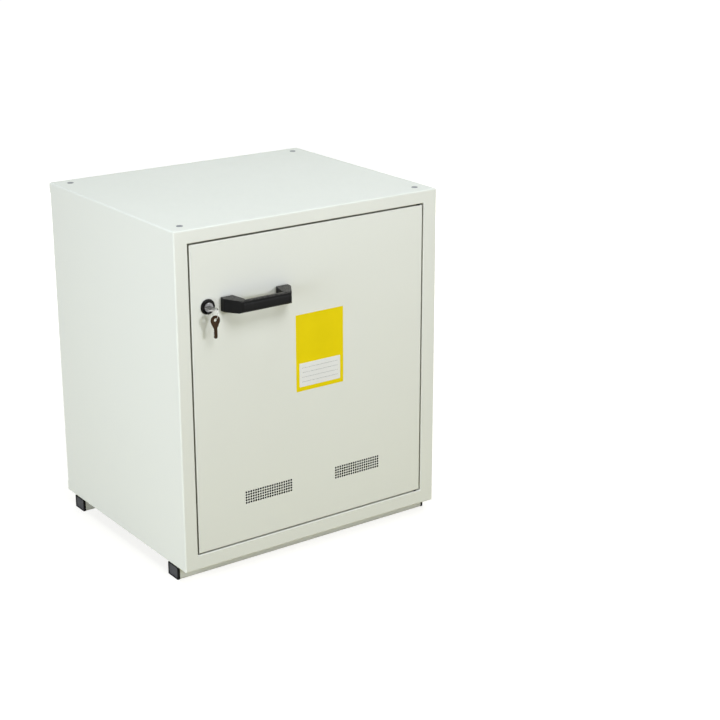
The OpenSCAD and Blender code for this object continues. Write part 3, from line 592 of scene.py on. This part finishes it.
def dress(node, finish, bevel=0.0, segments=2, softened=None):
    work = softened or merged_solid(node)
    if bevel:
        bevel_sharp(work, bevel, segments)
    smooth_by_angle(work)
    mesh = bpy.data.meshes.new("dressed_" + node)
    work.to_mesh(mesh)
    work.free()
    piece = new_piece("dressed_" + node, mesh, finish)
    weigh_normals(piece)
    return place_piece(piece, body_of[node], SLOT_OF.get(finish, finish), node)


def finish_solid(node, finish):
    solid = frame["nodes"][node]
    solid.data.materials.clear()
    solid.data.materials.append(finishes[finish])


print("dressing helpers ready")

# %% [markdown]
# The painted box
# Outer sheets, face frame and door are one colour, and their joints are ground flush before painting. So
# these copies get no bevel, which would draw a line at each joint: the folds alone catch the light.

# %% Dress the painted sheets
OUTER_SHEETS = (
    "side_panel_left", "side_panel_right", "top_panel", "bottom_panel", "back_panel",
    "frame_stile_latch", "frame_stile_hinge", "frame_rail_top", "frame_rail_bottom",
)
for node in OUTER_SHEETS:
    dress(node, "white_paint")
for node in ("base_rail_front", "base_rail_rear"):
    dress(node, "rail_paint")
dress("door_skin", "door_paint")

INNER_SHEETS = ("liner_left", "liner_right", "liner_top", "liner_floor", "liner_back", "door_liner")
for node in INNER_SHEETS:
    dress(node, "liner_paint")
print("dressed the door, the rails,", len(OUTER_SHEETS), "other outer and", len(INNER_SHEETS), "inner sheets")

# %% [markdown]
# Sheet metal inside
# The trays, runners and the collar are cut sheet with free edges. A bevel of a fifth of a millimetre is what
# deburring leaves, and it gives every free edge a thin line of light.

# %% Dress the inner metal
DEBURR = 0.2 * MM
GALVANISED = (
    "shelf_tray", "sump_tray", "shelf_runner_left", "shelf_runner_right", "exhaust_spigot", "spigot_flange",
)
for node in GALVANISED:
    dress(node, "galvanised_sheet", DEBURR)
for node in ("lock_nut", "lock_cam", "cam_screw", "handle_screws"):
    dress(node, "zinc_steel", DEBURR)
for node in ("pivot_bracket_top", "pivot_bracket_bottom"):
    dress(node, "dark_steel", DEBURR)

BOARDS = [node for node in body_of if "insulation" in node]
for node in BOARDS:
    finish_solid(node, "mineral_board")
print("dressed", len(GALVANISED), "galvanised pieces;", len(BOARDS), "boards stay inside the walls")

# %% [markdown]
# Moulded pieces
# The handle, its legs, the end plugs, the vent ducts and the pivot blocks come out of moulds, so no edge is
# sharp. A wider bevel with more segments gives the soft line of light along the shoulder of the handle; the
# mitre between a leg and the grip gets a fine one, so that the joint shows as a thin groove.

# %% Dress the mouldings
SHOULDER_ROUND, JOINT_ROUND, MOULD_ROUND, CAP_ROUND = 1.2 * MM, 0.6 * MM, 0.3 * MM, 0.15 * MM
# The mitre between a leg and the grip runs 7.5 mm inward over the 12 mm thickness of the grip
MITRE_RUN, MITRE_DEPTH = 7.5 * MM, 12 * MM
SAME_FACING = 0.98


def softened_leg(node, inward):
    # The mitred end of a leg faces the grip and outward, and its foot faces the door
    mitre = Vector((MITRE_DEPTH * inward, -MITRE_RUN, 0)).normalized()
    door = Vector((0, 1, 0))
    work = merged_solid(node)
    bevel_sharp(work, SHOULDER_ROUND, 4, lambda edge: all(
        max(face.normal.dot(mitre), face.normal.dot(door)) < SAME_FACING for face in edge.link_faces))
    return work


for node, inward in (("handle_leg_left", 1), ("handle_leg_right", -1)):
    dress(node, "handle_plastic", JOINT_ROUND, 2, softened_leg(node, inward))
dress("handle_grip", "handle_plastic", JOINT_ROUND, 2)
dress("rail_plugs", "plug_plastic", MOULD_ROUND, 2)
dress("top_caps", "cap_plastic", CAP_ROUND)
for node in ("pivot_block_top", "pivot_block_bottom", "vent_sleeve_left", "vent_sleeve_right"):
    dress(node, "black_plastic", MOULD_ROUND)
print("mouldings dressed")

# %% [markdown]
# Lock and keys
# The lock is turned metal in a black rosette. Its edges are fine, so the bevels are small. The two keys are
# stamped from sheet, with edges broken by tumbling.

# %% Dress the lock and the keys
ROSETTE_ROUND, BARREL_ROUND, KEY_ROUND = 0.3 * MM, 0.25 * MM, 0.15 * MM
dress("lock_rosette", "rosette_plastic", ROSETTE_ROUND, 3)
dress("lock_barrel", "lock_chrome", BARREL_ROUND, 3)
dress("lock_plug", "lock_chrome", KEY_ROUND)
dress("door_key", "key_nickel", KEY_ROUND)
dress("spare_key", "spare_brass", KEY_ROUND)
print("lock and keys dressed")

# %% [markdown]
# Pieces made by Geometry Nodes
# What repeats or follows a path is made by a node tree with named inputs: the rims of the punched holes, the
# screws, the seal round the opening and the split ring. A carrier object runs the tree, the result becomes a
# plain mesh, and the carrier goes, because an export keeps meshes and not instances.

# %% Define the tree helpers
GEOMETRY, INTEGER, OBJECT, MATERIAL = (
    "NodeSocketGeometry", "NodeSocketInt", "NodeSocketObject", "NodeSocketMaterial")


def geometry_tree(name, inputs):
    tree = bpy.data.node_groups.new(name, "GeometryNodeTree")
    tree.interface.new_socket("Geometry", in_out="INPUT", socket_type=GEOMETRY)
    for label, kind in inputs.items():
        tree.interface.new_socket(label, in_out="INPUT", socket_type=kind)
    tree.interface.new_socket("Geometry", in_out="OUTPUT", socket_type=GEOMETRY)
    return tree, tree.nodes.new("NodeGroupInput").outputs


def end_tree(tree, geometry, material):
    real = add_node(tree, "GeometryNodeRealizeInstances", {"Geometry": geometry}).outputs[0]
    smooth = add_node(tree, "GeometryNodeSetShadeSmooth", {"Geometry": real, "Shade Smooth": True}).outputs[0]
    coated = add_node(tree, "GeometryNodeSetMaterial", {"Geometry": smooth, "Material": material}).outputs[0]
    add_node(tree, "NodeGroupOutput", {"Geometry": coated})
    return tree


def grow(name, tree, finish, values, points=()):
    carrier_mesh = bpy.data.meshes.new(name)
    carrier_mesh.from_pydata(points, [], [])
    carrier = bpy.data.objects.new(name + "_carrier", carrier_mesh)
    bpy.context.scene.collection.objects.link(carrier)
    modifier = carrier.modifiers.new("grow", "NODES")
    modifier.node_group = tree
    given = dict(values, Material=finishes[finish])
    for socket in tree.interface.items_tree:
        if socket.in_out == "INPUT" and socket.name in given:
            modifier[socket.identifier] = given[socket.name]
    evaluated = carrier.evaluated_get(bpy.context.evaluated_depsgraph_get())
    mesh = bpy.data.meshes.new_from_object(evaluated)
    bpy.data.objects.remove(carrier)
    bpy.data.meshes.remove(carrier_mesh)
    return new_piece(name, mesh, finish)


print("tree helpers ready")

# %% [markdown]
# Rims of the punched grilles
# A punch pulls the edge of each hole in a little, and the paint then rounds it. The holes themselves are in
# the door sheet. A tree lays one small raised rim on each hole: a grid of points, and on each point a circle
# swept with a flattened profile.

# %% Grow the rims of the grilles
VENT_COLUMNS, VENT_ROWS, VENT_PITCH, VENT_HOLE = 20, 5, 5.2 * MM, 4.1 * MM
RIM_WIDTH = 0.25 * MM
sleeve_boxes = [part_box("vent_sleeve_left"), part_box("vent_sleeve_right")]

rim_tree, given = geometry_tree("punched_rims", {
    "Columns": INTEGER, "Rows": INTEGER, "Width": FLOAT, "Height": FLOAT, "Hole": FLOAT,
    "Rim Width": FLOAT, "Place": VECTOR, "Material": MATERIAL})
grid = add_node(rim_tree, "GeometryNodeMeshGrid", {
    "Size X": given["Width"], "Size Y": given["Height"],
    "Vertices X": given["Columns"], "Vertices Y": given["Rows"]})
path = add_node(rim_tree, "GeometryNodeCurvePrimitiveCircle", {
    "Resolution": 16,
    "Radius": calculate(rim_tree, "ADD", calculate(rim_tree, "MULTIPLY", given["Hole"], 0.5),
                        calculate(rim_tree, "MULTIPLY", given["Rim Width"], 0.5))})
profile = add_node(rim_tree, "GeometryNodeCurvePrimitiveCircle", {
    "Resolution": 4, "Radius": calculate(rim_tree, "MULTIPLY", given["Rim Width"], 0.5)})
squashed = add_node(rim_tree, "GeometryNodeTransform", {
    "Geometry": profile.outputs[0], "Scale": (1.0, 0.55, 1.0)})
rim = add_node(rim_tree, "GeometryNodeCurveToMesh", {
    "Curve": path.outputs[0], "Profile Curve": squashed.outputs[0]})
all_rims = add_node(rim_tree, "GeometryNodeInstanceOnPoints", {
    "Points": grid.outputs[0], "Instance": rim.outputs[0]})
upright = add_node(rim_tree, "GeometryNodeTransform", {
    "Geometry": all_rims.outputs[0], "Translation": given["Place"], "Rotation": (math.pi / 2, 0, 0)})
end_tree(rim_tree, upright.outputs[0], given["Material"])

for side, (low, high) in zip(("left", "right"), sleeve_boxes):
    middle = (low + high) / 2
    rims = grow("grille_rims_" + side, rim_tree, "white_paint", {
        "Columns": VENT_COLUMNS, "Rows": VENT_ROWS,
        "Width": (VENT_COLUMNS - 1) * VENT_PITCH, "Height": (VENT_ROWS - 1) * VENT_PITCH,
        "Hole": VENT_HOLE, "Rim Width": RIM_WIDTH,
        "Place": (middle.x, door_front, middle.z)})
    place_piece(rims, "door", "white_paint")
    print(rims.name, len(rims.data.polygons), "faces")

# %% [markdown]
# Screws
# The rear sheet and the shelf runners are held by pan-head screws with a cross recess. The places come from
# the solids: each screw is one loose island of its node. One head is modelled, the tree puts a copy on every
# place, and a seeded turn leaves the recesses as a real screwdriver would.

# %% Grow the screws
HEAD_HEIGHT, BACK_HEAD_RADIUS, RUNNER_HEAD_RADIUS = 2.0 * MM, 3.5 * MM, 4.0 * MM
SCREW_SEED = 7


def island_boxes(node):
    # The islands come in the order of their first vertices, so each run turns every screw the same way
    work = merged_solid(node)
    seen = set()
    boxes = []
    for first in work.verts:
        if first in seen:
            continue
        seen.add(first)
        reached = [first]
        for vertex in reached:
            for edge in vertex.link_edges:
                other = edge.other_vert(vertex)
                if other not in seen:
                    seen.add(other)
                    reached.append(other)
        low = Vector([min(vertex.co[axis] for vertex in reached) for axis in range(3)])
        high = Vector([max(vertex.co[axis] for vertex in reached) for axis in range(3)])
        boxes.append((low, high))
    work.free()
    return boxes


def pan_head(radius, height):
    # A domed disc along +Z with its seat at the origin
    work = bmesh.new()
    rings = 6
    outline = [Vector((radius, 0, 0)), Vector((radius, 0, 0.2 * height))]
    for step in range(1, rings + 1):
        angle = step / rings * math.pi / 2
        outline.append(Vector((radius * (0.45 + 0.55 * math.cos(angle)), 0,
                               height * (0.2 + 0.8 * math.sin(angle)))))
    outline.append(Vector((0, 0, height)))
    points = [work.verts.new(point) for point in outline]
    edges = [work.edges.new(pair) for pair in zip(points, points[1:])]
    bmesh.ops.spin(work, geom=points + edges, cent=(0, 0, 0), axis=(0, 0, 1),
                   angle=2 * math.pi, steps=28, use_merge=True)
    bmesh.ops.remove_doubles(work, verts=work.verts, dist=MERGE_DISTANCE)
    bmesh.ops.holes_fill(work, edges=[edge for edge in work.edges if edge.is_boundary])
    bmesh.ops.recalc_face_normals(work, faces=work.faces)
    mesh = bpy.data.meshes.new("pan_head")
    work.to_mesh(mesh)
    work.free()
    head = bpy.data.objects.new("pan_head", mesh)
    bpy.context.scene.collection.objects.link(head)
    return head


def cut_cross(head, radius, height):
    reach, slot, depth = 0.62 * radius, 0.17 * radius, 0.62 * height
    work = bmesh.new()
    for turn in (0, math.pi / 2):
        size = Matrix.Diagonal((2 * reach, 2 * slot, 2 * depth, 1))
        place = Matrix.Translation((0, 0, height)) @ Matrix.Rotation(turn, 4, "Z") @ size
        bmesh.ops.create_cube(work, size=1, matrix=place)
    mesh = bpy.data.meshes.new("cross_tool")
    work.to_mesh(mesh)
    work.free()
    tool = bpy.data.objects.new("cross_tool", mesh)
    bpy.context.scene.collection.objects.link(tool)
    cut = head.modifiers.new("cross", "BOOLEAN")
    cut.operation = "DIFFERENCE"
    cut.object = tool
    cut.solver = "EXACT"
    cut.use_self = True
    evaluated = head.evaluated_get(bpy.context.evaluated_depsgraph_get())
    shaped = bpy.data.meshes.new_from_object(evaluated)
    head.modifiers.remove(cut)
    head.data = shaped
    bpy.data.objects.remove(tool)


screw_tree, given = geometry_tree("screws_on_places", {
    "Head": OBJECT, "Lean": VECTOR, "Seed": INTEGER, "Material": MATERIAL})
head_shape = add_node(screw_tree, "GeometryNodeObjectInfo", {"Object": given["Head"]})
turn = add_node(screw_tree, "FunctionNodeRandomValue", {
    "Max": (0.0, 0.0, math.pi), "Seed": given["Seed"]}, data_type="FLOAT_VECTOR")
heads = add_node(screw_tree, "GeometryNodeInstanceOnPoints", {
    "Points": given["Geometry"], "Instance": head_shape.outputs["Geometry"], "Rotation": given["Lean"]})
turned = add_node(screw_tree, "GeometryNodeRotateInstances", {
    "Instances": heads.outputs[0], "Rotation": turn.outputs[0], "Local Space": True})
end_tree(screw_tree, turned.outputs[0], given["Material"])


def grow_screws(name, places, lean, radius, *replaced):
    head = pan_head(radius, HEAD_HEIGHT)
    cut_cross(head, radius, HEAD_HEIGHT)
    screws = grow(name, screw_tree, "zinc_steel", {"Head": head, "Lean": lean, "Seed": SCREW_SEED}, places)
    bpy.data.objects.remove(head)
    place_piece(screws, "carcass", "zinc_steel", *replaced)
    print(screws.name, len(places), "screws,", len(screws.data.polygons), "faces")


back_places = [Vector(((low.x + high.x) / 2, low.y, (low.z + high.z) / 2))
               for low, high in island_boxes("back_screws")]
grow_screws("back_pan_heads", back_places, (-math.pi / 2, 0, 0), BACK_HEAD_RADIUS, "back_screws")

# %% [markdown]
# Seal and key ring
# The seal is a rubber strip bent round the opening, and the ring is a wire wound twice. Both are a profile
# swept along a path, so both are trees: a filleted rectangle with an oval section, and a coil of two turns.

# %% Grow the seal
SEAL_CORNER, SEAL_WIDTH = 6 * MM, 7.5 * MM
seal_low, seal_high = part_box("door_seal")
seal_depth = seal_high.y - seal_low.y

seal_tree, given = geometry_tree("door_seal_strip", {
    "Width": FLOAT, "Height": FLOAT, "Corner": FLOAT, "Section": FLOAT, "Depth": FLOAT,
    "Place": VECTOR, "Material": MATERIAL})
outline = add_node(seal_tree, "GeometryNodeCurvePrimitiveQuadrilateral", {
    "Width": given["Width"], "Height": given["Height"]})
eased = add_node(seal_tree, "GeometryNodeFilletCurve", {
    "Curve": outline.outputs[0], "Radius": given["Corner"], "Count": 6, "Limit Radius": True}, mode="POLY")
bulb = add_node(seal_tree, "GeometryNodeCurvePrimitiveCircle", {"Resolution": 20, "Radius": 0.5})
stretch = add_node(seal_tree, "ShaderNodeCombineXYZ", {
    "X": given["Section"], "Y": given["Depth"], "Z": 1.0})
section = add_node(seal_tree, "GeometryNodeTransform", {
    "Geometry": bulb.outputs[0], "Scale": stretch.outputs[0]})
strip = add_node(seal_tree, "GeometryNodeCurveToMesh", {
    "Curve": eased.outputs[0], "Profile Curve": section.outputs[0]})
stood = add_node(seal_tree, "GeometryNodeTransform", {
    "Geometry": strip.outputs[0], "Translation": given["Place"], "Rotation": (math.pi / 2, 0, 0)})
end_tree(seal_tree, stood.outputs[0], given["Material"])

seal = grow("seal_strip", seal_tree, "seal_rubber", {
    "Width": seal_high.x - seal_low.x - SEAL_WIDTH, "Height": seal_high.z - seal_low.z - SEAL_WIDTH,
    "Corner": SEAL_CORNER, "Section": SEAL_WIDTH, "Depth": seal_depth,
    "Place": (seal_low + seal_high) / 2})
place_piece(seal, "carcass", "seal_rubber", "door_seal")
print(seal.name, len(seal.data.polygons), "faces")

# %% Grow the split ring
WIRE, RING_TURNS = 0.7 * MM, 2.0
ring_low, ring_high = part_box("key_ring")
ring_radius = (ring_high.z - ring_low.z) / 2 - WIRE

ring_tree, given = geometry_tree("split_ring", {
    "Radius": FLOAT, "Wire": FLOAT, "Turns": FLOAT, "Place": VECTOR, "Material": MATERIAL})
coil = add_node(ring_tree, "GeometryNodeCurveSpiral", {
    "Resolution": 72, "Rotations": given["Turns"], "Start Radius": given["Radius"],
    "End Radius": given["Radius"], "Height": given["Wire"]})
wire = add_node(ring_tree, "GeometryNodeCurvePrimitiveCircle", {
    "Resolution": 12, "Radius": calculate(ring_tree, "MULTIPLY", given["Wire"], 0.5)})
wound = add_node(ring_tree, "GeometryNodeCurveToMesh", {
    "Curve": coil.outputs[0], "Profile Curve": wire.outputs[0], "Fill Caps": True})
centred = add_node(ring_tree, "GeometryNodeTransform", {
    "Geometry": wound.outputs[0], "Translation": (0, 0, -WIRE / 2)})
hung = add_node(ring_tree, "GeometryNodeTransform", {
    "Geometry": centred.outputs[0], "Translation": given["Place"], "Rotation": (0, math.pi / 2, 0)})
end_tree(ring_tree, hung.outputs[0], given["Material"])

ring = grow("split_ring_wire", ring_tree, "key_nickel", {
    "Radius": ring_radius, "Wire": WIRE, "Turns": RING_TURNS, "Place": (ring_low + ring_high) / 2})
place_piece(ring, "ring", "key_nickel", "key_ring")
print(ring.name, len(ring.data.polygons), "faces")

# %% [markdown]
# Screws of the shelf runners
# They face across the cabinet, so the same tree gets another lean for each side.

# %% Grow the runner screws
left_places, right_places = [], []
for low, high in island_boxes("runner_screws"):
    middle = (low + high) / 2
    if middle.x < cabinet_middle.x:
        left_places.append(Vector((high.x - HEAD_HEIGHT, middle.y, middle.z)))
    else:
        right_places.append(Vector((low.x + HEAD_HEIGHT, middle.y, middle.z)))
grow_screws("runner_heads_left", left_places, (0, math.pi / 2, 0), RUNNER_HEAD_RADIUS, "runner_screws")
grow_screws("runner_heads_right", right_places, (0, -math.pi / 2, 0), RUNNER_HEAD_RADIUS)

# %% [markdown]
# Contents card
# A yellow vinyl card is stuck on the door beside the handle. It could be painted on, but a real one has
# thickness and rounded corners, so it is a thin plate. A white panel on it is left blank for writing, and its
# ruled lines repeat, so a tree lays them.

# %% Make the card
CARD_LOW, CARD_HIGH = Vector((-38.5 * MM, 0, 324 * MM)), Vector((66.8 * MM, 0, 472 * MM))
PANEL_LOW, PANEL_HIGH = Vector((-31.5 * MM, 0, 332 * MM)), Vector((59.8 * MM, 0, 378 * MM))
CARD_THICK, CARD_CORNER = 0.25 * MM, 1.5 * MM
PANEL_THICK, PANEL_CORNER = 0.06 * MM, 2.0 * MM
VINYL_GLOSS = 0.05


def vinyl(name, colour, roughness):
    tree, shader = start_finish(name, specular_ior_level=VINYL_GLOSS)
    tone = effect(tree, "drift", "Color", color=opaque(*colour), scale=25.0, amount=0.05)
    tree.links.new(tone, shader.inputs["Base Color"])
    sheen = remap(tree, noise_value(tree, 60.0, 2.0), 0.3, 0.7, roughness - 0.04, roughness + 0.04)
    tree.links.new(sheen, shader.inputs["Roughness"])
    set_bump(tree, shader, effect(tree, "skin", "Height", scale=900.0, fine=0.3), 0.008 * MM)


vinyl("card_yellow", (0.84, 0.66, 0.003), 0.34)
vinyl("card_white", (0.82, 0.82, 0.80), 0.38)
vinyl("card_ink", (0.10, 0.10, 0.11), 0.4)


def flat_plate(name, low, high, front, thick, corner, finish):
    work = bmesh.new()
    steps = 6
    rim = []
    corners = (((high.x - corner, high.z - corner), 0), ((low.x + corner, high.z - corner), 90),
               ((low.x + corner, low.z + corner), 180), ((high.x - corner, low.z + corner), 270))
    for (x, z), start in corners:
        for step in range(steps + 1):
            angle = math.radians(start + 90 * step / steps)
            rim.append(work.verts.new((x + corner * math.cos(angle), front, z + corner * math.sin(angle))))
    sheet = work.faces.new(rim)
    raised = bmesh.ops.extrude_face_region(work, geom=[sheet])
    moved = [item for item in raised["geom"] if isinstance(item, bmesh.types.BMVert)]
    bmesh.ops.translate(work, verts=moved, vec=(0, -thick, 0))
    bmesh.ops.recalc_face_normals(work, faces=work.faces)
    smooth_by_angle(work)
    mesh = bpy.data.meshes.new(name)
    work.to_mesh(mesh)
    work.free()
    return new_piece(name, mesh, finish)


card = flat_plate("contents_card", CARD_LOW, CARD_HIGH, door_front, CARD_THICK, CARD_CORNER, "card_yellow")
place_piece(card, "door", "white_paint")
card_front = door_front - CARD_THICK
panel = flat_plate("writing_panel", PANEL_LOW, PANEL_HIGH, card_front, PANEL_THICK, PANEL_CORNER,
                   "card_white")
place_piece(panel, "door", "white_paint")
print(card.name, "and", panel.name, "made")

# %% Rule the lines of the writing panel
LINE_COUNT, LINE_PITCH, LINE_SIZE = 4, 9 * MM, Vector((80 * MM, 0.05 * MM, 0.35 * MM))
line_tree, given = geometry_tree("ruled_lines", {
    "Count": INTEGER, "Pitch": VECTOR, "Start": VECTOR, "Size": VECTOR, "Material": MATERIAL})
rows = add_node(line_tree, "GeometryNodeMeshLine", {
    "Count": given["Count"], "Start Location": given["Start"], "Offset": given["Pitch"]})
bar = add_node(line_tree, "GeometryNodeMeshCube", {"Size": given["Size"]})
ruled = add_node(line_tree, "GeometryNodeInstanceOnPoints", {
    "Points": rows.outputs[0], "Instance": bar.outputs["Mesh"]})
end_tree(line_tree, ruled.outputs[0], given["Material"])

panel_middle = (PANEL_LOW + PANEL_HIGH) / 2
lowest_line = panel_middle.z - (LINE_COUNT - 1) / 2 * LINE_PITCH
lines = grow("ruled_lines", line_tree, "card_ink", {
    "Count": LINE_COUNT, "Pitch": (0, 0, LINE_PITCH), "Size": LINE_SIZE,
    "Start": (panel_middle.x, card_front - PANEL_THICK, lowest_line)})
place_piece(lines, "door", "white_paint")
print(lines.name, LINE_COUNT, "lines")

# %% [markdown]
# Size of the solids
# The dressed cabinet has to keep the size of the solids, so the size of their box is printed.

# %% Print the size of the solids
print("solid box", [round(value, 4) for value in cad_box[1] - cad_box[0]])
